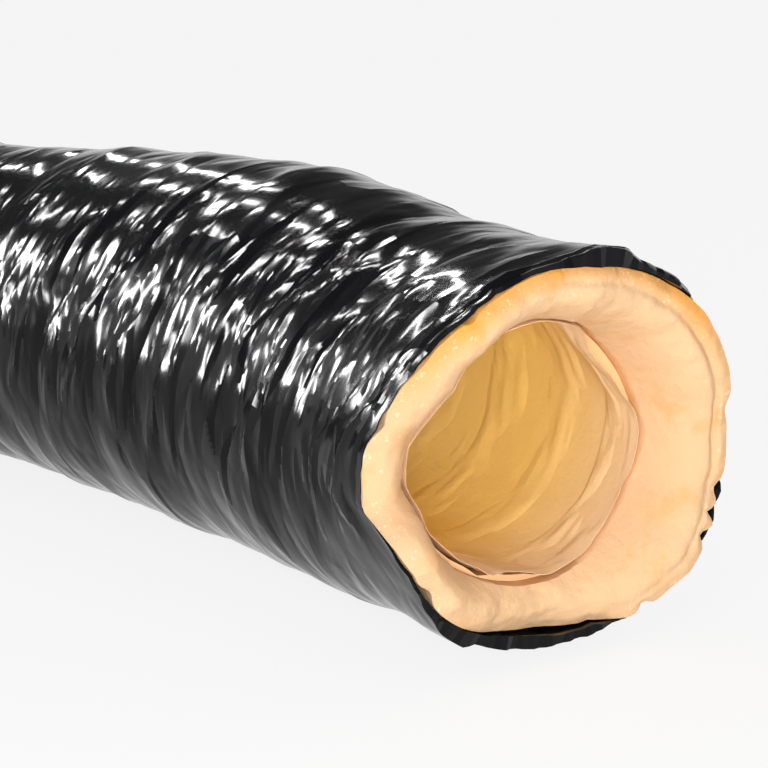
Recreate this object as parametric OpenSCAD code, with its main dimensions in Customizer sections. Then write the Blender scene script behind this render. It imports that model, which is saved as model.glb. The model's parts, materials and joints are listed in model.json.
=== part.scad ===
// Insulated flexible air duct, 127 mm bore, lying on a surface in a shallow bend.
// Layers from the inside: inner ply, spring wire, outer ply, insulation blanket, pleated jacket.
// Each layer is made in two halves, which meet face to face at the middle of the bend.
// Origin: middle of the footprint. +Z up, the front mouth towards +X, the bend opens to -Y.

/* [Bore and layers] */
// Inside diameter of the duct
bore_d = 127; // [80:1:250]
// Thickness of the liner's inner ply
inner_ply_t = 1; // [0.6:0.1:2]
// Diameter of the spring wire
wire_d = 2; // [1.2:0.1:3]
// Thickness of the liner's outer ply
outer_ply_t = 0.8; // [0.5:0.1:2]
// Thickness of the insulation blanket
blanket_t = 25; // [18:1:50]
// Thickness of the jacket in the bottom of its pleats
jacket_t = 0.8; // [0.6:0.1:1.5]
// Height of a jacket pleat
pleat_h = 1.8; // [0.6:0.1:4]

/* [Length and bend] */
// Length of the duct along its middle line
duct_len = 1000; // [760:10:1400]
// Radius of the bend, to the duct's middle line
bend_r = 950; // [500:10:2000]
// Straight length at each end, where the duct slips over a spigot
cuff_len = 40; // [30:1:60]

/* [Windings] */
// Turns of the spring wire in each half
half_turns = 9; // [4:1:12]
// Distance from a mouth to the first turn of the wire
wire_inset = 60; // [45:1:90]
// Pleats of the jacket in each half
half_pleats = 13; // [6:1:20]

/* [Mouth] */
// Radius of the blanket's soft edges at a mouth
blanket_round = 8; // [2:0.5:8.5]
// Distance that the jacket's edge stays back from the mouth
jacket_inset = 6; // [0:0.5:15]
// Length over which the two plies are bonded together at a mouth
bond_len = 20; // [10:1:22]

/* [Hidden] */
$fn = 96;

// Clearances
wire_clear = 0.1;    // between the wire and each ply
layer_clear = 0.1;   // between two layers that lie on each other
wire_mid_gap = 3;    // from the wire's inner end to the middle of the bend
flat_depth = 0.5;    // depth of the flat that the jacket rests on

// Facets of the two wound and pleated forms
wire_rings = 20;     // sections in one turn
wire_sides = 5;
jacket_sides = 24;
pleat_rings = 3;     // sections in one pleat

// Radii of the layers, from the inside
bore_r = bore_d / 2;
inner_ply_r = bore_r + inner_ply_t;
wire_r = wire_d / 2;
wire_path_r = (inner_ply_r + wire_clear + wire_r) / cos(180 / wire_rings);
outer_ply_in_r = wire_path_r + wire_r + wire_clear;
outer_ply_r = outer_ply_in_r + outer_ply_t;
bonded_in_r = inner_ply_r + layer_clear;
bonded_r = bonded_in_r + outer_ply_t;
blanket_in_r = outer_ply_r + layer_clear;
blanket_r = blanket_in_r + blanket_t;
// The middle line: an arc, with a straight run at each end
half_len = duct_len / 2;
half_arc = half_len - cuff_len;
half_angle = half_arc / bend_r * 180 / PI;

// The jacket's flat faces go round the blanket, and clear it between two sections of the bend
half_jacket_len = half_len - jacket_inset;
pleat_pitch = half_jacket_len / half_pleats;
bend_sag = pleat_pitch * pleat_pitch / (8 * bend_r);
jacket_in_r = blanket_r + layer_clear + bend_sag;
valley_r = jacket_in_r + jacket_t;
crest_r = valley_r + pleat_h;
axis_h = crest_r - flat_depth;

// Footprint, which puts the origin in its middle
mouth_y = -bend_r * (1 - cos(half_angle)) - cuff_len * sin(half_angle);
low_corner_y = mouth_y + (jacket_inset * sin(half_angle)) - crest_r * cos(half_angle);
mid_y = -(crest_r + low_corner_y) / 2;

half_wire_len = half_len - wire_inset - wire_mid_gap;
wire_pitch = half_wire_len / half_turns;
crumple_turns = 2;      // times that a pleat rises and falls on its way round
crumple_drift = 47;     // degrees that this shifts with each pleat
crumple_share = 0.35;   // share of a pleat's height that it takes
bottom_angle = -90;     // a flat side of the jacket's sections faces down

// Heading of the middle line, in degrees turned from +X towards -Y, at a distance s from its middle
function heading(s) = max(-half_arc, min(half_arc, s)) / bend_r * 180 / PI;
function straight_run(s) = s - max(-half_arc, min(half_arc, s));
function middle_line(s) = [
    bend_r * sin(heading(s)) + straight_run(s) * cos(heading(s)),
    mid_y - bend_r * (1 - cos(heading(s))) - straight_run(s) * sin(heading(s)),
    axis_h
];
// Direction square to the middle line, at an angle round it, 0 on the outside of the bend and 90 up
function around(s, angle) = [
    cos(angle) * sin(heading(s)),
    cos(angle) * cos(heading(s)),
    sin(angle)
];
function unit(v) = v / norm(v);
function on_floor(p) = [p[0], p[1], max(0, p[2])];

// Spring wire: a helix round the middle line, whose ends run straight for one wire diameter
function wire_angle(s) = 360 * s / wire_pitch;
function wire_point(s) = middle_line(s) + wire_path_r * around(s, wire_angle(s));
function wire_step() = wire_pitch / wire_rings;
function wire_heading(s) = unit(wire_point(s + wire_step() / 2) - wire_point(s - wire_step() / 2));
function wire_route(from, to) = let(
    steps = half_turns * wire_rings,
    ahead = wire_d * wire_heading(to),
    behind = wire_d * wire_heading(from)
) [
    wire_point(from) - behind,
    for (i = [0 : steps]) wire_point(from + (to - from) * i / steps),
    wire_point(to) + ahead
];
function wire_stations(from, to) = let(steps = half_turns * wire_rings) [
    from,
    for (i = [0 : steps]) from + (to - from) * i / steps,
    to
];
function wire_section(p, s) = let(
    out = around(s, wire_angle(s)),
    flank = unit(cross(wire_heading(s), out)),
    rise = cross(flank, wire_heading(s))
) [for (k = [0 : wire_sides - 1]) p + wire_r * (cos(360 * k / wire_sides) * rise + sin(360 * k / wire_sides) * flank)];

// Jacket: the pleats wind round the duct and crumple a little on their way
function fade(s) = min(1, (half_jacket_len - abs(s)) / pleat_pitch);
function pleat_wave(s, angle) = (1 + cos(360 * s / pleat_pitch - angle)) / 2;
function crumple(s, angle) = let(
    shift = crumple_drift * s / pleat_pitch
) 1 - crumple_share * (1 + cos(crumple_turns * angle + shift)) / 2;
function jacket_r(s, angle) = valley_r + pleat_h * fade(s) * pleat_wave(s, angle) * crumple(s, angle);
function side_angle(k) = bottom_angle + 360 * (k + 0.5) / jacket_sides;
function corner(s, angle, r) = middle_line(s) + r / cos(180 / jacket_sides) * around(s, angle);
function outer_section(s) = [
    for (k = [0 : jacket_sides - 1]) on_floor(corner(s, side_angle(k), jacket_r(s, side_angle(k))))
];
function inner_section(s) = [
    for (k = [0 : jacket_sides - 1]) corner(s, side_angle(k), jacket_in_r)
];

// Triangles between neighbouring rings of n points, the first ring starting at point number base
function wall_faces(rings, n, base = 0) = [
    for (i = [0 : rings - 2], k = [0 : n - 1])
        let(a = base + i * n + k, b = base + i * n + (k + 1) % n)
            each [[a, a + n, b], [b, a + n, b + n]]
];
function turned_over(faces) = [for (f = faces) [f[0], f[2], f[1]]];
// Triangles between a ring and another one inside it, in the same plane
function rim_faces(n, ring, inner_ring) = [
    for (k = [0 : n - 1])
        let(a = ring + k, b = ring + (k + 1) % n, c = inner_ring + k, d = inner_ring + (k + 1) % n)
            each [[a, b, c], [c, b, d]]
];

// A solid rod through rings of points
module rod(sections) {
    rings = len(sections);
    n = len(sections[0]);
    first_cap = [for (k = [0 : n - 1]) k];
    last_cap = [for (k = [n - 1 : -1 : 0]) (rings - 1) * n + k];
    polyhedron([for (ring = sections) each ring], concat([first_cap], wall_faces(rings, n), [last_cap]));
}
// A sleeve between outer and inner rings of points
module sleeve(outer, inner) {
    n = len(outer[0]);
    inner_base = len(outer) * n;
    last_outer = inner_base - n;
    last_inner = inner_base + (len(inner) - 1) * n;
    polyhedron(
        [for (ring = concat(outer, inner)) each ring],
        concat(
            wall_faces(len(outer), n),
            turned_over(wall_faces(len(inner), n, inner_base)),
            rim_faces(n, 0, inner_base),
            turned_over(rim_faces(n, last_outer, last_inner))
        )
    );
}

// Least gap between neighbouring turns of the wire, measured on its points
function turn_gaps(route) = [
    for (i = [1 : len(route) - 2 - wire_rings]) norm(route[i + wire_rings] - route[i]) - wire_d
];
echo(least_gap_between_wire_turns = min(turn_gaps(wire_route(wire_mid_gap, half_len - wire_inset))));
echo(outside_diameter = 2 * crest_r, wire_pitch = wire_pitch, bend_angle = 2 * half_angle);

// What is placed from the centre of the bend
module at_bend_centre() {
    translate([0, mid_y - bend_r, axis_h])
        children();
}
// A section's outline, carried along the front half of the arc
module along_arc() {
    at_bend_centre()
        rotate([0, 0, 90 - half_angle])
            rotate_extrude(angle = half_angle)
                translate([bend_r, 0])
                    children();
}
// What stands on the end of the arc, its own +Z running out of the front mouth
module at_cuff() {
    at_bend_centre()
        rotate([0, 0, -half_angle])
            translate([0, bend_r, 0])
                rotate([0, 90, 0])
                    children();
}
module ring(outer_r, inner_r) {
    difference() {
        circle(r = outer_r);
        circle(r = inner_r);
    }
}
module rear_from_front() {
    mirror([1, 0, 0])
        children();
}

module liner_inner_ply_half() {
    along_arc()
        ring(inner_ply_r, bore_r);
    at_cuff()
        linear_extrude(cuff_len)
            ring(inner_ply_r, bore_r);
}

// The outer ply leaves the wire and is bonded down on the inner ply at the mouth
module liner_outer_ply_half() {
    bond_start = cuff_len - bond_len;
    slope_start = bond_start / 2;
    along_arc()
        ring(outer_ply_r, outer_ply_in_r);
    at_cuff()
        rotate_extrude()
            polygon([
                [outer_ply_in_r, 0],
                [outer_ply_r, 0],
                [outer_ply_r, slope_start],
                [bonded_r, bond_start],
                [bonded_r, cuff_len],
                [bonded_in_r, cuff_len],
                [bonded_in_r, bond_start],
                [outer_ply_in_r, slope_start]
            ]);
}

// The blanket's end is soft: both its edges are round
module insulation_half() {
    along_arc()
        ring(blanket_r, blanket_in_r);
    at_cuff()
        rotate_extrude()
            blanket_end_outline();
}
module blanket_end_outline() {
    translate([blanket_in_r, 0])
        square([blanket_t, cuff_len - blanket_round]);
    translate([blanket_in_r + blanket_round, 0])
        square([blanket_t - 2 * blanket_round, cuff_len]);
    for (edge_r = [blanket_in_r + blanket_round, blanket_r - blanket_round])
        translate([edge_r, cuff_len - blanket_round])
            circle(r = blanket_round);
}

module jacket(from, to) {
    steps = half_pleats * pleat_rings;
    sleeve(
        [for (i = [0 : steps]) outer_section(from + (to - from) * i / steps)],
        [for (i = [0 : half_pleats]) inner_section(from + (to - from) * i / half_pleats)]
    );
}
module wire(from, to) {
    route = wire_route(from, to);
    stations = wire_stations(from, to);
    rod([for (i = [0 : len(route) - 1]) wire_section(route[i], stations[i])]);
}

module liner_inner_ply_front() {
    color([1, 0.84, 0.62])
        liner_inner_ply_half();
}
module liner_inner_ply_rear() {
    color([1, 0.84, 0.62])
        rear_from_front()
            liner_inner_ply_half();
}
module wire_helix_front() {
    color([0.62, 0.63, 0.65])
        wire(wire_mid_gap, half_len - wire_inset);
}
module wire_helix_rear() {
    color([0.62, 0.63, 0.65])
        wire(wire_inset - half_len, -wire_mid_gap);
}
module liner_outer_ply_front() {
    color([0.98, 0.78, 0.5])
        liner_outer_ply_half();
}
module liner_outer_ply_rear() {
    color([0.98, 0.78, 0.5])
        rear_from_front()
            liner_outer_ply_half();
}
module insulation_front() {
    color([0.99, 0.86, 0.68])
        insulation_half();
}
module insulation_rear() {
    color([0.99, 0.86, 0.68])
        rear_from_front()
            insulation_half();
}
module jacket_front() {
    color([0.08, 0.08, 0.09])
        jacket(0, half_jacket_len);
}
module jacket_rear() {
    color([0.08, 0.08, 0.09])
        jacket(-half_jacket_len, 0);
}

liner_inner_ply_front();
liner_inner_ply_rear();
wire_helix_front();
wire_helix_rear();
liner_outer_ply_front();
liner_outer_ply_rear();
insulation_front();
insulation_rear();
jacket_front();
jacket_rear();
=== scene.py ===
# %% [markdown]
# # An insulated air duct in a shallow bend
# Five layers lie one in the other: an inner ply, a spring wire, an outer ply, a thick
# fibre blanket and a crinkled film jacket. The frame gives their sizes and the joint at which
# the duct bends. Every layer is modelled straight, along X, where its shape is easy to think
# about, and is laid on the bent route at the end.

# %% The fixed frame
import json
import math

import bmesh
import bpy
import numpy as np
from mathutils import Matrix, Vector, noise


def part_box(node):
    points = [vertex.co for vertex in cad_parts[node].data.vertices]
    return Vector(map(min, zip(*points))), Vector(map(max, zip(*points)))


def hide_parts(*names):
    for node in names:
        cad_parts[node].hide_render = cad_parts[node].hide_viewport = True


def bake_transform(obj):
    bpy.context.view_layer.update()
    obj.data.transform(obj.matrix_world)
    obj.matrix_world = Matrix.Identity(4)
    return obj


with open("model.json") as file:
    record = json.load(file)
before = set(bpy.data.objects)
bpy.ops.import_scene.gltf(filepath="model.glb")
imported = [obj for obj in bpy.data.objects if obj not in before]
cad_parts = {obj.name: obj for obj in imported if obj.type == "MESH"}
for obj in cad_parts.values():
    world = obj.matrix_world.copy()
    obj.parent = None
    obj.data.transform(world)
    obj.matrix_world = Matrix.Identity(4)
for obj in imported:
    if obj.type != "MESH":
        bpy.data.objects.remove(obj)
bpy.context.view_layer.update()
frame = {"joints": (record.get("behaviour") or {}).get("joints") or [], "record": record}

# %% [markdown]
# ## The route
# The real duct is straight when it's pulled out and lies in whatever bend it is given. Here it
# lies in one arc with a straight cuff at each end. The arc could be typed in again, but the
# bore mount in the front cuff already fixes it: its heading is half of the bend, and its
# distance from the middle gives the radius.

# %% Sizes read from the frame
bend_joint = frame["joints"][0]
front_bore = next(m for m in frame["record"]["mounts"] if m["name"] == "front_bore")
mid_y, axis_h = bend_joint["pos_m"][1:]
half_turn = math.atan2(-front_bore["axis"][1], front_bore["axis"][0])
cuff_len = front_bore["dims"]["length_mm"] / 1000
bore_r = front_bore["dims"]["r_mm"] / 1000
bend_r = (front_bore["pos_m"][0] - cuff_len / 2 * math.cos(half_turn)) / math.sin(half_turn)
half_arc = bend_r * half_turn
half_len = half_arc + cuff_len


def half_height(node):
    """Half the height of a CAD node, which is the outer radius of a round layer."""
    low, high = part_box(node)
    return (high.z - low.z) / 2


inner_ply_r = half_height("liner_inner_ply_front")
outer_ply_r = half_height("liner_outer_ply_front")
blanket_r = half_height("insulation_front")
wire_out_r = half_height("wire_helix_front")
jacket_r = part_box("jacket_front")[1].z - axis_h
print(f"bend radius {bend_r:.4f} m, half length {half_len:.4f} m, bore radius {bore_r:.4f} m")
print(f"layers: {inner_ply_r:.4f} {wire_out_r:.4f} {outer_ply_r:.4f} {blanket_r:.4f} {jacket_r:.4f}")


# %% From the straight model to the route
def on_route(straight):
    """Points x along the duct, y outwards and z up from the middle line, laid on the bent route."""
    x, y, z = straight.T
    on_arc = np.clip(x, -half_arc, half_arc)
    turn = on_arc / bend_r
    beyond = x - on_arc
    out = bend_r + y
    return np.column_stack(
        [
            out * np.sin(turn) + beyond * np.cos(turn),
            mid_y - bend_r + out * np.cos(turn) - beyond * np.sin(turn),
            axis_h + z,
        ]
    )


# %% [markdown]
# ## The camera
# It stands in front of the mouth and a little to the side of the duct's axis, far off with a
# long lens, so that the round mouth is a mild ellipse and the duct runs out of the picture.
# The place is worked back from the pixel at which the middle of the mouth should appear.

# %% Camera
IMAGE_SIZE = 768
FOCAL_PX = 2463
MOUTH_PX = (565.7, 461.3)
CAMERA_AZIMUTH, CAMERA_ELEVATION = math.radians(33.8), math.radians(13.95)
MOUTH_DISTANCE = 1.0946

mouth = Vector(on_route(np.array([[half_len, 0, 0]]))[0])
ahead = Vector(
    (
        -math.sin(CAMERA_AZIMUTH) * math.cos(CAMERA_ELEVATION),
        math.cos(CAMERA_AZIMUTH) * math.cos(CAMERA_ELEVATION),
        -math.sin(CAMERA_ELEVATION),
    )
)
right = Vector((math.cos(CAMERA_AZIMUTH), math.sin(CAMERA_AZIMUTH), 0))
down = ahead.cross(right)
aside, below = ((p - IMAGE_SIZE / 2) / FOCAL_PX * MOUTH_DISTANCE for p in MOUTH_PX)
camera_data = bpy.data.cameras.new("camera")
camera_data.sensor_width = 36
camera_data.lens = FOCAL_PX / IMAGE_SIZE * camera_data.sensor_width
camera_data.clip_start = 0.01
camera = bpy.data.objects.new("camera", camera_data)
bpy.context.scene.collection.objects.link(camera)
place = mouth - MOUTH_DISTANCE * ahead - aside * right - below * down
turned = Matrix((right, -down, -ahead)).transposed().to_4x4()
camera.matrix_world = Matrix.Translation(place) @ turned
bpy.context.scene.camera = camera
print("camera at", [round(v, 3) for v in place])

# %% [markdown]
# ## Shader maths in Python
# A pattern is easier to read as a formula than as a tree of nodes. A small class wraps a
# socket, so that `1 - mask * 0.5` adds the Math nodes by itself.


# %% Sockets that calculate
class Socket:
    """A shader socket that takes part in Python arithmetic."""

    def __init__(self, tree, socket=None):
        self.tree, self.socket = tree, socket

    def node(self, kind, settings=None, inputs=None, output=0):
        """Adds a node of a kind, sets its settings, feeds its inputs and returns one output."""
        made = self.tree.nodes.new(kind)
        for name, value in (settings or {}).items():
            setattr(made, name, value)
        for name, value in (inputs or {}).items():
            if isinstance(value, Socket):
                self.tree.links.new(value.socket, made.inputs[name])
            else:
                made.inputs[name].default_value = value
        return Socket(self.tree, made.outputs[output])

    def math(self, operation, *values):
        return self.node("ShaderNodeMath", {"operation": operation}, dict(enumerate(values)))

    def __add__(self, other):
        return self.math("ADD", self, other)

    def __radd__(self, other):
        return self.math("ADD", other, self)

    def __sub__(self, other):
        return self.math("SUBTRACT", self, other)

    def __rsub__(self, other):
        return self.math("SUBTRACT", other, self)

    def __mul__(self, other):
        return self.math("MULTIPLY", self, other)

    def __rmul__(self, other):
        return self.math("MULTIPLY", other, self)

    def clamp(self, low=0.0, high=1.0):
        return self.math("MINIMUM", self.math("MAXIMUM", self, low), high)

    def band(self, start, end):
        """0 before start, 1 after end and smooth between."""
        settings = {"interpolation_type": "SMOOTHSTEP"}
        return self.node("ShaderNodeMapRange", settings, {"Value": self, 1: start, 2: end})

    def mix_colour(self, first, second):
        """first where this value is 0, second where it is 1."""
        return self.node("ShaderNodeMix", {"data_type": "RGBA"}, {0: self, 6: first, 7: second}, 2)

    def noise(self, scale, detail, roughness, stretch=(1, 1, 1)):
        """Soft noise over this vector: stretch under 1 draws it out along an axis, over 1 packs it."""
        where = self.node("ShaderNodeMapping", None, {"Vector": self, "Scale": stretch})
        sizes = {"Vector": where, "Scale": scale, "Detail": detail, "Roughness": roughness}
        return self.node("ShaderNodeTexNoise", None, sizes)


def new_material(name):
    """A material with a Principled shader: the material, its shader and a socket to start from."""
    material = bpy.data.materials.new(name)
    material.use_nodes = True
    tree = material.node_tree
    shader = tree.nodes["Principled BSDF"]
    return material, shader, Socket(tree)


def link(start, shader, name, value):
    """Feeds one of a shader's sockets from a calculated value."""
    start.tree.links.new(value.socket, shader.inputs[name])


# %% [markdown]
# ## Light and floor
# A plain studio. The camera and all that mirrors see a white floor, walls that are white up to
# a few degrees above the horizon and a dim ceiling. The duct itself is lit by a weaker, even
# light. The floor glows most of its white by itself, so that it stays white without more light
# on the duct, and keeps a share of its own shading for the duct's shadow.


# %% Floor
def seen_rays(start):
    """1 for rays that show the background: straight to the camera, mirrored or through glass."""
    kinds = ("Is Camera Ray", "Is Glossy Ray", "Is Transmission Ray")
    camera_ray, glossy_ray, clear_ray = (start.node("ShaderNodeLightPath", output=k) for k in kinds)
    return (camera_ray + glossy_ray + clear_ray).clamp()


FLOOR_SIZE = 30.0
bpy.ops.object.select_all(action="DESELECT")
bpy.ops.mesh.primitive_plane_add(size=FLOOR_SIZE)
floor = bpy.context.object
floor.name = "floor"
floor_white, floor_shader, at = new_material("floor_white")
floor_shader.inputs["Base Color"].default_value = (0.95, 0.95, 0.95, 1)
floor_shader.inputs["Roughness"].default_value = 0.9
floor_shader.inputs["Specular IOR Level"].default_value = 0.1
SHADOW_SHARE = 0.15
glow = at.node("ShaderNodeEmission", None, {"Color": (1, 1, 1, 1), "Strength": 1.0})
lit_floor = Socket(at.tree, floor_shader.outputs["BSDF"])
white = at.node("ShaderNodeMixShader", None, {0: seen_rays(at) * (1 - SHADOW_SHARE), 1: lit_floor, 2: glow})
at.tree.links.new(white.socket, at.tree.nodes["Material Output"].inputs["Surface"])
floor.data.materials.append(floor_white)
print(f"floor {FLOOR_SIZE:.0f} m wide, which keeps {SHADOW_SHARE:.0%} of its shading")

# %% Surroundings
WALL_TOP, CEILING_FROM = math.sin(math.radians(6)), math.sin(math.radians(20))
CEILING_LEVEL = 0.15
SOFT_LEVEL = 0.42
world = bpy.data.worlds.new("studio")
bpy.context.scene.world = world
world.use_nodes = True
start = Socket(world.node_tree)
direction = start.node("ShaderNodeTexCoord", output="Generated")
height = start.node("ShaderNodeSeparateXYZ", None, {0: direction}, "Z")
wall = 1 - height.band(WALL_TOP, CEILING_FROM) * (1 - CEILING_LEVEL)
seen = seen_rays(start)
strength = seen * wall + (1 - seen) * SOFT_LEVEL
background = world.node_tree.nodes["Background"]
background.inputs["Color"].default_value = (1, 1, 1, 1)
world.node_tree.links.new(strength.socket, background.inputs["Strength"])
print(f"the duct is lit at {SOFT_LEVEL}, mirrors see 1 low down and {CEILING_LEVEL} overhead")

# %% [markdown]
# ## Lamps
# Crinkled black film shows by what it mirrors: a facet that faces a lamp flashes and the others
# stay dark. One large lamp would light wide patches at once, so seven narrow strips stand round
# the camera's left. They are hidden from diffuse light, so they show only in what mirrors. The
# mouth is cloth and fibre, which mirror little, so it gets two soft square lamps.


# %% Lamps
def soft_light(name, place, target, size, power):
    """An area lamp of a size in metres, turned to a point on the duct."""
    data = bpy.data.lights.new(name, "AREA")
    data.shape = "RECTANGLE"
    data.size, data.size_y = size
    data.energy = power
    lamp = bpy.data.objects.new(name, data)
    bpy.context.scene.collection.objects.link(lamp)
    lamp.location = place
    lamp.rotation_euler = (Vector(target) - Vector(place)).to_track_quat("-Z", "Y").to_euler()
    return lamp


def from_side(azimuth, elevation, distance):
    """An offset from the duct: azimuth 0 is towards -Y, 90 towards +X."""
    across, up = math.radians(azimuth), math.radians(elevation)
    level = distance * math.cos(up)
    return Vector((level * math.sin(across), -level * math.cos(across), distance * math.sin(up)))


duct_front = Vector(on_route(np.array([[0.25, 0, 0]]))[0])
STRIP_DISTANCE, STRIP_HEIGHT = 1.2, 0.35
MOUTH_LAMP_DISTANCE = 1.3
# Azimuth, elevation, width in m and power for each metre of width
STRIPS = [(-48, 20, 0.07, 150), (-60, 7, 0.06, 150), (-68, 28, 0.09, 150), (-84, 14, 0.05, 150)]
STRIPS += [(-90, 42, 0.04, 110), (-116, 42, 0.04, 90), (-131, 33, 0.03, 60)]
for azimuth, elevation, width, power in STRIPS:
    place = duct_front + from_side(azimuth, elevation, STRIP_DISTANCE)
    size = (width, STRIP_HEIGHT)
    soft = soft_light(f"strip_{-azimuth}_{elevation}", place, duct_front, size, power * width)
    soft.visible_diffuse = False
# Two soft lights shine into the mouth, one from the side and one along the camera's view
side_place = mouth + from_side(12, 20, MOUTH_LAMP_DISTANCE)
front_place = mouth + from_side(36, 10, MOUTH_LAMP_DISTANCE)
soft_light("side_light", side_place, mouth, (0.6, 0.6), 2.8)
soft_light("front_light", front_place, mouth, (0.4, 0.4), 13)
print(len(STRIPS), "strips for the film and two lamps for the mouth")


# %% [markdown]
# ## One way to make every layer
# All layers but the wire are rings seen end on, so each starts as the outline of its wall,
# drawn beside the axis, and is spun once round X. The outline is a plane whose face is taken
# out, and its edges are cut as finely as that layer's folds need.


# %% Spinning a wall
def deselect_all():
    bpy.ops.object.select_all(action="DESELECT")


def select_edges(piece, wanted):
    """In edit mode, selects the edges whose two ends both pass the test wanted(point)."""
    mesh = bmesh.from_edit_mesh(piece.data)
    for vert in mesh.verts:
        vert.select = False
    for edge in mesh.edges:
        edge.select = False
    for edge in mesh.edges:
        if all(wanted(vert.co) for vert in edge.verts):
            edge.select = True
    mesh.select_flush_mode()
    bmesh.update_edit_mesh(piece.data)


def cut_edges(piece, wanted, *cuts):
    """Cuts the wanted edges into equal steps, in one pass for each number of cuts."""
    for number in cuts:
        select_edges(piece, wanted)
        bpy.ops.mesh.subdivide(number_cuts=number)


# Two places closer than this count as the same, and the blanket is cut finer this near the mouth
SAME_PLACE = 1e-6
FINE_REACH = 0.1


def spin_wall(
    name, inner_r, outer_r, length, round_steps, outer_cuts, inner_cuts, end_cuts, mouth_cuts=()
):
    """A ring-shaped wall about X: its outline is cut into steps, finer by the mouth, and spun."""
    deselect_all()
    middle = (0, 0, (inner_r + outer_r) / 2)
    bpy.ops.mesh.primitive_plane_add(size=1, location=middle, rotation=(math.pi / 2, 0, 0))
    piece = bpy.context.object
    piece.name = piece.data.name = name
    piece.scale = (length, outer_r - inner_r, 1)
    bpy.ops.object.transform_apply(location=True, rotation=True, scale=True)
    bpy.ops.object.mode_set(mode="EDIT")
    bpy.ops.mesh.select_mode(type="EDGE")
    bpy.ops.mesh.select_all(action="SELECT")
    bpy.ops.mesh.delete(type="ONLY_FACE")

    def outside(p):
        return p.z > outer_r - SAME_PLACE

    def inside(p):
        return p.z < inner_r + SAME_PLACE

    def by_mouth(p):
        return p.x > length / 2 - FINE_REACH and (outside(p) or inside(p))

    cut_edges(piece, outside, *outer_cuts)
    cut_edges(piece, inside, *inner_cuts)
    cut_edges(piece, by_mouth, *mouth_cuts)
    for side in (-1, 1):
        cut_edges(piece, lambda p: p.x * side > length / 2 - SAME_PLACE, *end_cuts)
    bpy.ops.mesh.select_all(action="SELECT")
    bpy.ops.mesh.spin(steps=round_steps, angle=2 * math.pi, center=(0, 0, 0), axis=(1, 0, 0))
    bpy.ops.mesh.select_all(action="SELECT")
    bpy.ops.mesh.remove_doubles(threshold=SAME_PLACE)
    bpy.ops.mesh.normals_make_consistent(inside=False)
    bpy.ops.object.mode_set(mode="OBJECT")
    print(name, len(piece.data.vertices), "points,", len(piece.data.polygons), "faces")
    return piece


def points_of(piece):
    co = np.empty(len(piece.data.vertices) * 3)
    piece.data.vertices.foreach_get("co", co)
    return co.reshape(-1, 3)


def move_points(piece, points):
    piece.data.vertices.foreach_set("co", points.ravel())
    piece.data.update()


# How far either side of the middle the arc reaches, up to where the cuffs begin on the inside of the bend
BEND_REACH = (bend_r - jacket_r) * math.sin(half_turn)


def lay_on_route(piece, material, slot, *nodes, sharp=40):
    """Keeps the straight place of every point for the material, lays the piece on the route
    and hides the CAD nodes that it stands for."""
    straight = points_of(piece)
    kept = piece.data.attributes.new("straight", "FLOAT_VECTOR", "POINT")
    kept.data.foreach_set("vector", straight.astype(np.float32).ravel())
    move_points(piece, on_route(straight))
    piece.data.materials.append(material)
    deselect_all()
    piece.select_set(True)
    bpy.context.view_layer.objects.active = piece
    bpy.ops.object.shade_smooth_by_angle(angle=math.radians(sharp))
    start, end = (-BEND_REACH, mid_y, axis_h), (BEND_REACH, mid_y, axis_h)
    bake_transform(piece)
    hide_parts(*nodes)
    return piece


# %% [markdown]
# ## Crinkles
# Film crumples into flat facets with sharp creases between them. Noise would give round hills,
# so random heights are set at the corners of a coarse net and flat triangles are laid between
# them. Nets of several mesh sizes, one on the other, give long folds with small facets on them.


# %% Facets and soft noise
def facets(rows, columns, row_step, column_step, seed):
    """A field of flat triangles over a grid that closes round its columns, from -1 to 1."""
    random = np.random.default_rng(seed)
    down, round_ = rows // row_step + 2, columns // column_step
    corner = random.uniform(-1, 1, (down, round_))
    turned_cell = random.random((down, round_)) < 0.5
    row, column = np.meshgrid(np.arange(rows), np.arange(columns), indexing="ij")
    i, j = row // row_step, column // column_step
    u, v = row / row_step - i, column / column_step - j
    j_next = (j + 1) % round_
    turned_here = turned_cell[i, j]
    v = np.where(turned_here, 1 - v, v)
    near, far = np.where(turned_here, j_next, j), np.where(turned_here, j, j_next)
    first, second = corner[i, near], corner[i + 1, near]
    third, fourth = corner[i, far], corner[i + 1, far]
    one_side = first + (second - first) * u + (fourth - second) * v
    other_side = first + (third - first) * v + (fourth - third) * u
    return np.where(u > v, one_side, other_side)


def soft_noise(points, size, seed):
    """Smooth noise from -1 to 1 over points, with hills about one size across."""
    shift = Vector((seed * 17.3, seed * 5.9, seed * 11.1))
    return np.array([noise.noise(Vector(p) / size + shift) for p in points])


# %% [markdown]
# ## The mouth
# The duct was cut by hand with a knife, so its end isn't a flat ring. The cut runs forward and
# back round the mouth, the blanket is squeezed thin at the bottom and the film stands out
# beyond it in places. A few listed values round the clock hold all of that.

# %% The cut round the mouth
MM = 0.001
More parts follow.
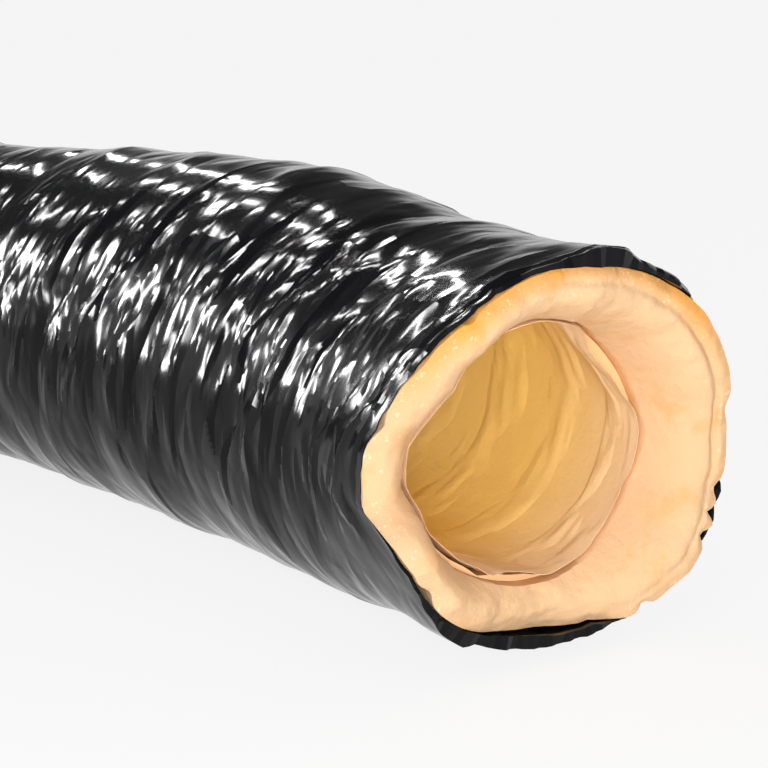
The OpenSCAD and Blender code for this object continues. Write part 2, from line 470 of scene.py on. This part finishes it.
# Degrees round the mouth (0 on the outside of the bend, 90 at the top): how far the outer edge
# of the cut stands forward and its radius, then the same for the hole's edge, all in mm.
MOUTH_CUT = [
    (0, -6, 92.5, -26, 59),
    (20, 0, 94, -28, 57.5),
    (40, 1, 94.5, -30, 57),
    (55, 0, 92, -28, 57),
    (70, 4, 90, -18, 59),
    (85, 9, 89, -6, 62),
    (100, 9, 91, -7, 65.5),
    (115, 13, 92, -11, 66.5),
    (130, 12, 92.5, -11, 66),
    (145, 5, 93, -8, 65.5),
    (160, -5, 94, -16, 67),
    (172, -14, 95, -24, 69),
    (188, -15, 95, -25, 70),
    (196, 3, 93, -16, 69),
    (204, 12, 91.5, -14, 69.5),
    (220, 9, 90, -10, 68),
    (240, -3, 85.5, -8, 63),
    (250, -9, 82.5, -10, 61.5),
    (265, -15, 81.5, -14, 60.5),
    (285, -13, 85, -18, 60),
    (296, -8, 92, -21, 59.5),
    (305, -4.6, 93, -24, 59),
    (318, 1, 93.5, -26, 58.5),
    (333, -2, 93, -28, 58),
    (345, -7, 93, -26, 58.5),
]
CUT_FADE = 45 * MM
# The blanket is thicker in some places: mm from the middle of the duct, mm more at the top and
# mm more at the bottom
SWELL = [(-500, 0, 0), (-440, 3, 3), (-300, 5, 5), (-120, -2, -2), (0, -6, -3.5), (80, -4, -4)]
SWELL += [(105, 1, -2), (130, 3, -1), (170, 4.5, 1), (210, 7, 3), (260, 7, 6), (290, 3.5, 6)]
SWELL += [(315, 1.5, 6.5), (355, -2.5, 6), (380, -2, 6), (410, -3.5, 5), (440, -1.5, 3)]
SWELL += [(475, 1, 0), (500, 0.5, 0)]
# Away from the ends the film lies loosely round the blanket
LOOSE = 2.4 * MM
# Degrees and mm: how far the film stands out forwards beyond the blanket
HEM_STANDS_OUT = [(0, -9), (38, -9), (44, -3), (48, 3), (55, 6), (62, 4), (78, 6), (95, 6)]
HEM_STANDS_OUT += [(110, 0), (225, 0), (240, 4), (250, 8), (265, 12), (280, 10), (294, 1)]
HEM_STANDS_OUT += [(306, -8), (324, -8), (329, 0), (345, 0), (350, -9)]
# Degrees and mm: how far its edge flares out or turns in
HEM_RADIUS = [(0, 0), (55, 0), (62, -1.5), (69, -1), (76, 3.5), (84, 4), (91, 1), (97, -1)]
HEM_RADIUS += [(118, 0), (212, 0), (226, 2), (236, 0), (240, -4), (256, -7.5), (276, -8)]
HEM_RADIUS += [(290, -4), (305, 0), (327, -1), (331, -3), (343, -3), (348, 0)]
# Degrees and mm: how far the liner's edge has come off the blanket
LIP_OFF = [(0, 0.3), (10, 0.5), (22, 4), (45, 6), (62, 4), (75, 0.3), (205, 0), (216, 2)]
LIP_OFF += [(230, 2.5), (237, 0.2), (243, 3), (262, 3), (272, 0.3), (330, 0)]
# At the cut the liner's plies lie closer, at this share of their distance
PLIES_CLOSER = 0.15
print("the cut runs from", min(p[1] for p in MOUTH_CUT), "to", max(p[1] for p in MOUTH_CUT), "mm")


def round_the_mouth(angle, points, column=1):
    """Values at some angles in radians, from given points in degrees and millimetres."""
    degrees = [p[0] for p in points]
    values = [p[column] for p in points]
    return MM * np.interp(np.degrees(angle) % 360, degrees, values, period=360)


def swell(points):
    """How much fuller than the frame's even tube the blanket is at some points."""
    along, top, bottom = zip(*SWELL)
    x = points[:, 0] / MM
    share = (1 + np.sin(angle_of(points))) / 2
    return MM * (share * np.interp(x, along, top) + (1 - share) * np.interp(x, along, bottom))


def away_from_ends(points):
    return np.clip((half_len - np.abs(points[:, 0])) / CUT_FADE, 0, 1)


def angle_of(points):
    return np.arctan2(points[:, 2], points[:, 1])


def radius_of(points):
    return np.hypot(points[:, 1], points[:, 2])


def with_radius(points, radius):
    """The same points, at another radius from the axis."""
    scale = radius / radius_of(points)
    return points * np.column_stack([np.ones(len(points)), scale, scale])


def near_mouth(points, reach=CUT_FADE):
    """1 at the front mouth, and soft down to 0 further in."""
    inside = np.clip((half_len - points[:, 0]) / reach, 0, None)
    return np.exp(-inside * inside)


# The rear end is cut in the same way but more evenly: the cut of the mouth, turned and halved
REAR_TURN, REAR_SHARE = 2.5, 0.5


def settle_at_ends(points):
    """Draws a layer's two ends to the cuts. Every layer goes through here, so none crosses another."""
    for side, turn, share in ((1, 0, 1), (-1, REAR_TURN, REAR_SHARE)):
        radius, angle = radius_of(points), angle_of(points) + turn
        across = np.clip((radius - outer_ply_r) / (blanket_r - outer_ply_r), 0, 1)
        outer_forward, outer = (round_the_mouth(angle, MOUTH_CUT, k) for k in (1, 2))
        hole_forward, hole = (round_the_mouth(angle, MOUTH_CUT, k) for k in (3, 4))
        forward = hole_forward + (outer_forward - hole_forward) * (1 - (1 - across) ** 3)
        lip = hole - round_the_mouth(angle, LIP_OFF) - (outer_ply_r - radius) * PLIES_CLOSER
        settled = np.where(radius > outer_ply_r, hole + (outer - hole) * across, lip)
        edge = near_mouth(points * (side, 1, 1)) * share
        points = with_radius(points, radius + (settled - radius) * edge)
        points[:, 0] += side * forward * edge
    return points


# %% [markdown]
# ## Film jacket
# A sleeve of thin black film round the blanket. It is longer than it needs to be, so it stands
# in pleats that wind round the duct and crumple on their way. A cloth simulation could fold it,
# but its folds can't be put where they are wanted. Here the outside of a wall is moved in and
# out by nets of facets. Its points are then shifted along and round the duct, so that no crease
# keeps to the straight lines of the mesh, and slanted, so that the pleats wind.

# %% Jacket wall
JACKET_BACK = 6 * MM
JACKET_IN_R = blanket_r + 0.3 * MM
JACKET_MEAN_R = jacket_r - 2 * MM
JACKET_ROUND = 168
jacket = spin_wall(
    "jacket",
    JACKET_IN_R,
    JACKET_MEAN_R,
    2 * (half_len - JACKET_BACK),
    round_steps=JACKET_ROUND,
    outer_cuts=(20, 25),
    inner_cuts=(30,),
    end_cuts=(),
)
# The cuts make 21 * 26 steps along the outside, and so one row of points more
JACKET_ROWS = 547
straight = points_of(jacket)
is_outer = radius_of(straight) > (JACKET_IN_R + JACKET_MEAN_R) / 2
angle = angle_of(straight)
radius = radius_of(straight)
row_step = 2 * (half_len - JACKET_BACK) / (JACKET_ROWS - 1)
column_step = 2 * math.pi / JACKET_ROUND
row = np.rint((straight[:, 0] + half_len - JACKET_BACK) / row_step).astype(int)
column = np.rint(angle / column_step).astype(int) % JACKET_ROUND

# %% Crumpled film
# Rows and columns from corner to corner, the height of the facets in mm, and a seed
JACKET_NETS = [(30, 21, 1.5, 1), (12, 14, 1.3, 2)]
# Small facets, fullest on the sides, where the film is pushed together most
FINE_NETS = [(6, 12, 1.0, 3), (3, 7, 0.55, 4)]
LEAST_FINE = 0.35
height_share = np.sin(angle)
from_top, from_bottom = (1 - height_share) / 0.25, (height_share + 0.45) / 0.3
fine_share = np.clip(np.minimum(from_top, from_bottom), LEAST_FINE, 1)
for nets, share in ((JACKET_NETS, np.ones(len(radius))), (FINE_NETS, fine_share)):
    for rows, columns, height, seed in nets:
        field = facets(JACKET_ROWS, JACKET_ROUND, rows, columns, seed)[row, column]
        radius[is_outer] += (height * MM * field * share)[is_outer]
print(f"film between {radius[is_outer].min():.4f} and {radius[is_outer].max():.4f} m from the axis")

# %% Bunched film
# Places where the film is bunched up: mm from the middle, degrees round, size and height in mm
JACKET_KNOTS = [(363, 122, 20, 3.0), (478, 112, 14, 1.2), (455, 128, 12, 1.0)]
JACKET_KNOTS += [(450, 153, 22, 1.0), (370, 164, 26, 1.0), (200, 160, 25, 0.8)]
JACKET_KNOTS += [(-150, 60, 30, 1.6), (-330, 20, 30, 1.6), (60, 300, 30, 1.4)]
KNOT_NET, KNOT_SEED = (5, 4), 5
knot_field = facets(JACKET_ROWS, JACKET_ROUND, *KNOT_NET, KNOT_SEED)[row, column]
for along, degrees, size, height in JACKET_KNOTS:
    off_x = straight[:, 0] - along * MM
    off_round = (np.degrees(angle) - degrees + 180) % 360 - 180
    off_round = np.radians(off_round) * JACKET_MEAN_R
    near = np.exp(-(off_x**2 + off_round**2) / (size * MM) ** 2)
    radius[is_outer] += (near * knot_field * height * MM)[is_outer]
print(len(JACKET_KNOTS), "bunched places")

# %% The film follows the blanket and the cuts
edge = near_mouth(straight)
squeeze = round_the_mouth(angle, MOUTH_CUT, 2) - blanket_r
radius[~is_outer] += (edge * squeeze - LOOSE * away_from_ends(straight))[~is_outer]
radius[is_outer] += (edge * round_the_mouth(angle, HEM_RADIUS))[is_outer]
rear_squeeze = REAR_SHARE * (round_the_mouth(angle + REAR_TURN, MOUTH_CUT, 2) - blanket_r)
radius += swell(straight) + near_mouth(straight * (-1, 1, 1)) * rear_squeeze

# %% Shifted creases
SHIFT_NET, ALONG_SEED, ROUND_SEED = (6, 6), 11, 12
# How far creases are shifted: mm along, and columns of the mesh round the duct
ALONG_SHIFT, ROUND_SHIFT = 3.5, 1.3
# How far the pleats run forward for each metre of height
SLANT = 0.22
# The shifts end this far from the ends of the duct, and fade out over the next stretch
SHIFT_ENDS, SHIFT_FADE = 30 * MM, 24 * MM
along_shift = facets(JACKET_ROWS, JACKET_ROUND, *SHIFT_NET, ALONG_SEED)[row, column] * ALONG_SHIFT * MM
round_shift = facets(JACKET_ROWS, JACKET_ROUND, *SHIFT_NET, ROUND_SEED)[row, column] * ROUND_SHIFT
round_shift = round_shift * column_step
past = np.clip(np.abs(straight[:, 0]) - (half_len - SHIFT_ENDS), 0, SHIFT_FADE)
inner_part = 1 - past / SHIFT_FADE
turned_by = round_shift * is_outer * inner_part
slant = SLANT * straight[:, 2]
straight[:, 0] += (along_shift + slant) * is_outer * inner_part
straight[:, 1] = radius * np.cos(angle + turned_by)
straight[:, 2] = radius * np.sin(angle + turned_by)

# %% Hem
HEM_WAVE, HEM_WAVE_SIZE, HEM_SEED = 3, 7 * MM, 3
hem = soft_noise(straight * (0, 1, 1), HEM_WAVE_SIZE, HEM_SEED) * HEM_WAVE * MM + JACKET_BACK - 1 * MM
forward = round_the_mouth(angle, MOUTH_CUT, 1) + round_the_mouth(angle, HEM_STANDS_OUT) + hem
rear_edge = near_mouth(straight * (-1, 1, 1))
rear_forward = REAR_SHARE * round_the_mouth(angle + REAR_TURN, MOUTH_CUT, 1) + hem
straight[:, 0] += edge * forward - rear_edge * rear_forward
# The film lies on the floor and not in it
straight[:, 2] = np.maximum(straight[:, 2], -axis_h)
move_points(jacket, straight)
print(f"jacket from {straight[:, 0].min():.4f} to {straight[:, 0].max():.4f} m along the duct")

# %% [markdown]
# ## Black film
# Smooth, shiny black plastic. The facets do most of the work and their edges stay sharp, and a
# fine bump adds the small creases that would need too many points.

# %% Film
film, film_shader, at = new_material("black_film")
where = at.node("ShaderNodeAttribute", {"attribute_name": "straight"}, output="Vector")
film_shader.inputs["Base Color"].default_value = (0.006, 0.006, 0.007, 1)
film_shader.inputs["Roughness"].default_value = 0.13
film_shader.inputs["Specular IOR Level"].default_value = 0.1
creases = at.math("ABSOLUTE", where.noise(28, 1, 0.5, stretch=(2, 1, 1)) - 0.5)
bump = at.node("ShaderNodeBump", None, {"Strength": 1.0, "Distance": 0.001, "Height": creases})
link(at, film_shader, "Normal", bump)
lay_on_route(jacket, film, "jacket", "jacket_front", "jacket_rear", sharp=5)
2 * half_len

# %% [markdown]
# ## Insulation
# A thick ring of loose fibre, of which only the cut ends show. A knife leaves them puffed
# between liner and film, torn at the inner edge and nicked at the outer one. The ends are cut
# into many steps and moved by soft noise, and the body of the ring stays coarse.

# %% Insulation
BLANKET_IN_R = outer_ply_r + 0.1 * MM
BLANKET_OUT_R = blanket_r - 0.3 * MM
insulation = spin_wall(
    "insulation", BLANKET_IN_R, BLANKET_OUT_R, 2 * half_len, 240, (20, 1), (20,), (24,), mouth_cuts=(3,)
)
straight = points_of(insulation)
angle = angle_of(straight)
across = (radius_of(straight) - BLANKET_IN_R) / (BLANKET_OUT_R - BLANKET_IN_R)
edge = near_mouth(straight)
rear_edge = near_mouth(straight * (-1, 1, 1))

# %% Puffed face
# On the outside of the bend a groove runs round the face, this far across it and this wide
GROOVE_AT, GROOVE_WIDE = 0.76, 0.07
GROOVE_DEPTH, PUFF = 3 * MM, 4 * MM
right_half = np.clip(np.cos(angle - 0.3), 0, 1)
groove = GROOVE_DEPTH * right_half * (0.8 + soft_noise(straight, 25 * MM, 14))
puff = PUFF * np.sin(math.pi * across)
puff = puff - groove * np.exp(-(((across - GROOVE_AT) / GROOVE_WIDE) ** 2))
push = soft_noise(straight, 16 * MM, 5) * 2.0 * MM + soft_noise(straight, 5 * MM, 8) * 0.7 * MM
print(f"the face puffs out up to {(puff + push).max() / MM:.1f} mm")

# %% Torn and nicked edges
# The inner edge is torn on the inside of the bend: mm, a seed and the middle in radians round
TORN, TORN_SEED, TORN_MIDDLE = 3.2, 9, 2.8
# Degrees round, width in degrees and depth in mm of nicks in the outer edge of the face
NICKS = [(302, 2, 4), (329, 2, 5), (336, 1.5, 5), (343, 2, 3), (8, 4, 3), (128, 2, 2)]
NICKS += [(164, 3, 3), (212, 3, 3)]
ragged = soft_noise(straight, 4 * MM, TORN_SEED) * TORN * MM * np.clip(1 - 6 * across, 0, 1)
ragged *= np.clip(1.4 - np.abs((angle % (2 * math.pi)) - TORN_MIDDLE), 0, 1)
nick = np.zeros(len(straight))
for degrees, width, depth in NICKS:
    off = (np.degrees(angle) - degrees + 180) % 360 - 180
    nick += depth * MM * np.exp(-((off / width) ** 2)) * np.clip(4 * across - 3, 0, 1)
print(len(NICKS), "nicks, the deepest", round(nick.max() / MM, 1), "mm")

# %% The blanket takes its shape
REAR_PUFF = 0.5
fuller = across * (swell(straight) - LOOSE * away_from_ends(straight))
fuller = with_radius(straight, radius_of(straight) + fuller)
straight = settle_at_ends(fuller)
straight[:, 0] += edge * (puff + push + ragged) - rear_edge * (puff * REAR_PUFF + push)
straight = with_radius(straight, radius_of(straight) + edge * (ragged - nick))
move_points(insulation, straight)

# %% [markdown]
# ## Fibre
# Bonded fibre is straw-coloured and matt, with a few pale strands. It turns orange in its
# grooves, and near the film at the top it is painted a deeper orange as shade. Noise gives the
# grooves and strands, and a bump stands for the single fibres.

# %% Fibre
fibre, fibre_shader, at = new_material("fibre_blanket")
where = at.node("ShaderNodeAttribute", {"attribute_name": "straight"}, output="Vector")
y, z = (where.node("ShaderNodeSeparateXYZ", None, {0: where}, axis) for axis in "YZ")
squared = y * y + z * z
from_axis = squared.math("SQRT", squared)
# Painted shade: the outer part of the face at the top, near the film, is painted a deeper orange for the
# shade there
painted_top_shade = from_axis.band(0.080, 0.092) * z.band(0.02, 0.07)
grooves = where.noise(45, 3, 0.6).band(0.52, 0.72)
# The painted shade at the top, together with the grooves' own orange tone
shade_and_tone = (painted_top_shade * 0.8 + grooves * 0.3).clamp()
strands = where.noise(260, 3, 0.7).band(0.60, 0.68) * from_axis.band(0.07, 0.092)
colour = shade_and_tone.mix_colour((0.81, 0.52, 0.29, 1), (0.80, 0.34, 0.05, 1))
colour = (strands * 0.4).mix_colour(colour, (0.97, 0.86, 0.70, 1))
link(at, fibre_shader, "Base Color", colour)
fibre_shader.inputs["Roughness"].default_value = 0.95
fibre_shader.inputs["Specular IOR Level"].default_value = 0.1
grain = {"Strength": 0.5, "Distance": 0.002, "Height": where.noise(150, 4, 0.6)}
link(at, fibre_shader, "Normal", at.node("ShaderNodeBump", None, grain))
lay_on_route(insulation, fibre, "insulation", "insulation_front", "insulation_rear")

# %% [markdown]
# ## Spring wire
# One steel wire winds through the liner and holds it open. A curve with a round bevel could
# give it, but the screw modifier does what a winding machine does: it turns one small circle
# round the axis and carries it forward.

# %% Winding
WIRE_R = 1 * MM
WIRE_SIDES, SCREW_STEPS = 10, 36
# In mm, how far in from each cut the wire ends and how far from the middle each half of the
# solid wire stops. In between it makes this many turns, and the pitch follows from that
WIRE_INSET, WIRE_MID_GAP, HALF_TURNS = 60, 3, 9
WIRE_TURNS = 2 * HALF_TURNS
WIRE_PITCH = (half_len - (WIRE_INSET + WIRE_MID_GAP) * MM) / HALF_TURNS
wire_half = half_len - WIRE_INSET * MM
wire_path_r = wire_out_r - WIRE_R
start_angle = 2 * math.pi * -wire_half / WIRE_PITCH
deselect_all()
bpy.ops.mesh.primitive_circle_add(vertices=WIRE_SIDES, radius=WIRE_R, rotation=(math.pi / 2, 0, 0))
wire = bpy.context.object
wire.name = wire.data.name = "spring_wire"
wire.location = (-wire_half, 0, wire_path_r)
bpy.ops.object.transform_apply(location=True, rotation=True, scale=True)
screw = wire.modifiers.new("winding", "SCREW")
screw.axis = "X"
screw.iterations = WIRE_TURNS
screw.angle = 2 * math.pi * 2 * wire_half / WIRE_PITCH / WIRE_TURNS
screw.screw_offset = 2 * wire_half / WIRE_TURNS
screw.steps = screw.render_steps = SCREW_STEPS
bpy.ops.object.modifier_apply(modifier="winding")

# %% Closed ends
bpy.ops.object.mode_set(mode="EDIT")
bpy.ops.mesh.select_all(action="SELECT")
bpy.ops.mesh.fill_holes(sides=0)
bpy.ops.mesh.normals_make_consistent(inside=False)
bpy.ops.object.mode_set(mode="OBJECT")
print("wire", len(wire.data.vertices), "points, from", wire.bound_box[0][:], "to", wire.bound_box[6][:])

# %% Wire in place
straight = points_of(wire)
turn = start_angle - math.pi / 2
y, z = straight[:, 1].copy(), straight[:, 2].copy()
near_turn = np.degrees(np.unwrap(np.arctan2(z, y)[:: len(straight) // 600]))
print("wire turns", round((near_turn[-1] - near_turn[0]) / 360, 2))
straight[:, 1] = y * math.cos(turn) - z * math.sin(turn)
straight[:, 2] = y * math.sin(turn) + z * math.cos(turn)
move_points(wire, settle_at_ends(straight))

# %% Steel
steel, steel_shader, at = new_material("spring_steel")
where = at.node("ShaderNodeAttribute", {"attribute_name": "straight"}, output="Vector")
steel_shader.inputs["Base Color"].default_value = (0.62, 0.58, 0.52, 1)
steel_shader.inputs["Metallic"].default_value = 1.0
link(at, steel_shader, "Roughness", where.noise(90, 2, 0.6) * 0.3 + 0.2)
lay_on_route(wire, steel, "spring_wire", "wire_helix_front", "wire_helix_rear")

# %% [markdown]
# ## The liner's two plies
# Thin non-woven cloth on both sides of the wire. Between two turns it sags towards the middle
# of the bore, and it lies in small folds, which noise gives, drawn out round the bore. Both
# plies are much alike, so one function makes their materials: pale at the mouth and a stronger
# orange further in, which is painted bounce light, the colour such cloth takes on where its light comes
# from other cloth.


# %% Cloth of both plies
def sag_between_turns(points):
    """0 on the wire and up to 1 midway between two of its turns."""
    phase = points[:, 0] / WIRE_PITCH - angle_of(points) / (2 * math.pi)
    return 0.5 - 0.5 * np.cos(2 * math.pi * phase)


# The cloth is pale this near the mouth, and from this far in it has the stronger orange that is painted in
# for light from other cloth
PALE_UP_TO, BOUNCE_TINT_FROM = 0.01, 0.12


def ply_material(name, near, bounce_tinted):
    """Pale cloth at the mouth, and further in a stronger orange painted in for light from other cloth."""
    cloth, cloth_shader, at = new_material(name)
    where = at.node("ShaderNodeAttribute", {"attribute_name": "straight"}, output="Vector")
    x = where.node("ShaderNodeSeparateXYZ", None, {0: where}, "X")
    # Painted bounce light: further into the bore the colour turns a stronger orange, as if lit by other
    # cloth
    inside = 1 - x.band(half_len - BOUNCE_TINT_FROM, half_len - PALE_UP_TO)
    link(at, cloth_shader, "Base Color", inside.mix_colour((*near, 1), (*bounce_tinted, 1)))
    cloth_shader.inputs["Roughness"].default_value = 0.9
    cloth_shader.inputs["Specular IOR Level"].default_value = 0.15
    weave = {"Strength": 0.3, "Distance": 0.002, "Height": where.noise(110, 3, 0.6)}
    link(at, cloth_shader, "Normal", at.node("ShaderNodeBump", None, weave))
    return cloth


# %% Inner ply
SAG, FOLD_DEPTH, FOLD_SHARE = 1.6 * MM, 2.2 * MM, 0.6
# The liner's edge is held by the cut, so its folds end this near it
FOLDS_END = 6 * MM
liner = spin_wall("liner_inner_ply", bore_r, inner_ply_r, 2 * half_len, 144, (20,), (20, 14), ())
straight = points_of(liner)
arcs = soft_noise(straight * (1, 0.3, 0.3), 10 * MM, 21)
folds = soft_noise(straight * (0.5, 1, 1), 16 * MM, 22)
sagging = SAG * sag_between_turns(straight) * (1 + FOLD_SHARE * folds)
inwards = sagging + FOLD_DEPTH * np.abs(arcs)
straight = settle_at_ends(straight)
inwards *= 1 - near_mouth(straight, FOLDS_END)
print(f"the liner stands up to {inwards.max() / MM:.1f} mm into the bore")
move_points(liner, with_radius(straight, radius_of(straight) - inwards))

# %% Inner cloth
# The second colour is the painted bounce light of the cloth further in
cloth = ply_material("liner_cloth", (0.98, 0.72, 0.46), (1.0, 0.70, 0.21))
lay_on_route(liner, cloth, "liner", "liner_inner_ply_front", "liner_inner_ply_rear")
2 * math.pi * bore_r
2 * half_len

# %% Outer ply
OUTER_PLY_IN_R = wire_out_r + 0.1 * MM
OUTER_PLY_LEN = 2 * (half_len - 9 * MM)
outer_ply = spin_wall(
    "liner_outer_ply", OUTER_PLY_IN_R, outer_ply_r, OUTER_PLY_LEN, 96, (20, 2), (20, 2), ()
)
move_points(outer_ply, settle_at_ends(points_of(outer_ply)))
# The second colour is the painted bounce light of the cloth further in
outer_cloth = ply_material("outer_ply_cloth", (0.96, 0.62, 0.34), (0.96, 0.56, 0.20))
lay_on_route(outer_ply, outer_cloth, "liner_outer", "liner_outer_ply_front", "liner_outer_ply_rear")

# %% [markdown]
# ## Finish
# The Standard view shows colours as they are written.

# %% View settings
bpy.context.scene.view_settings.view_transform = "Standard"
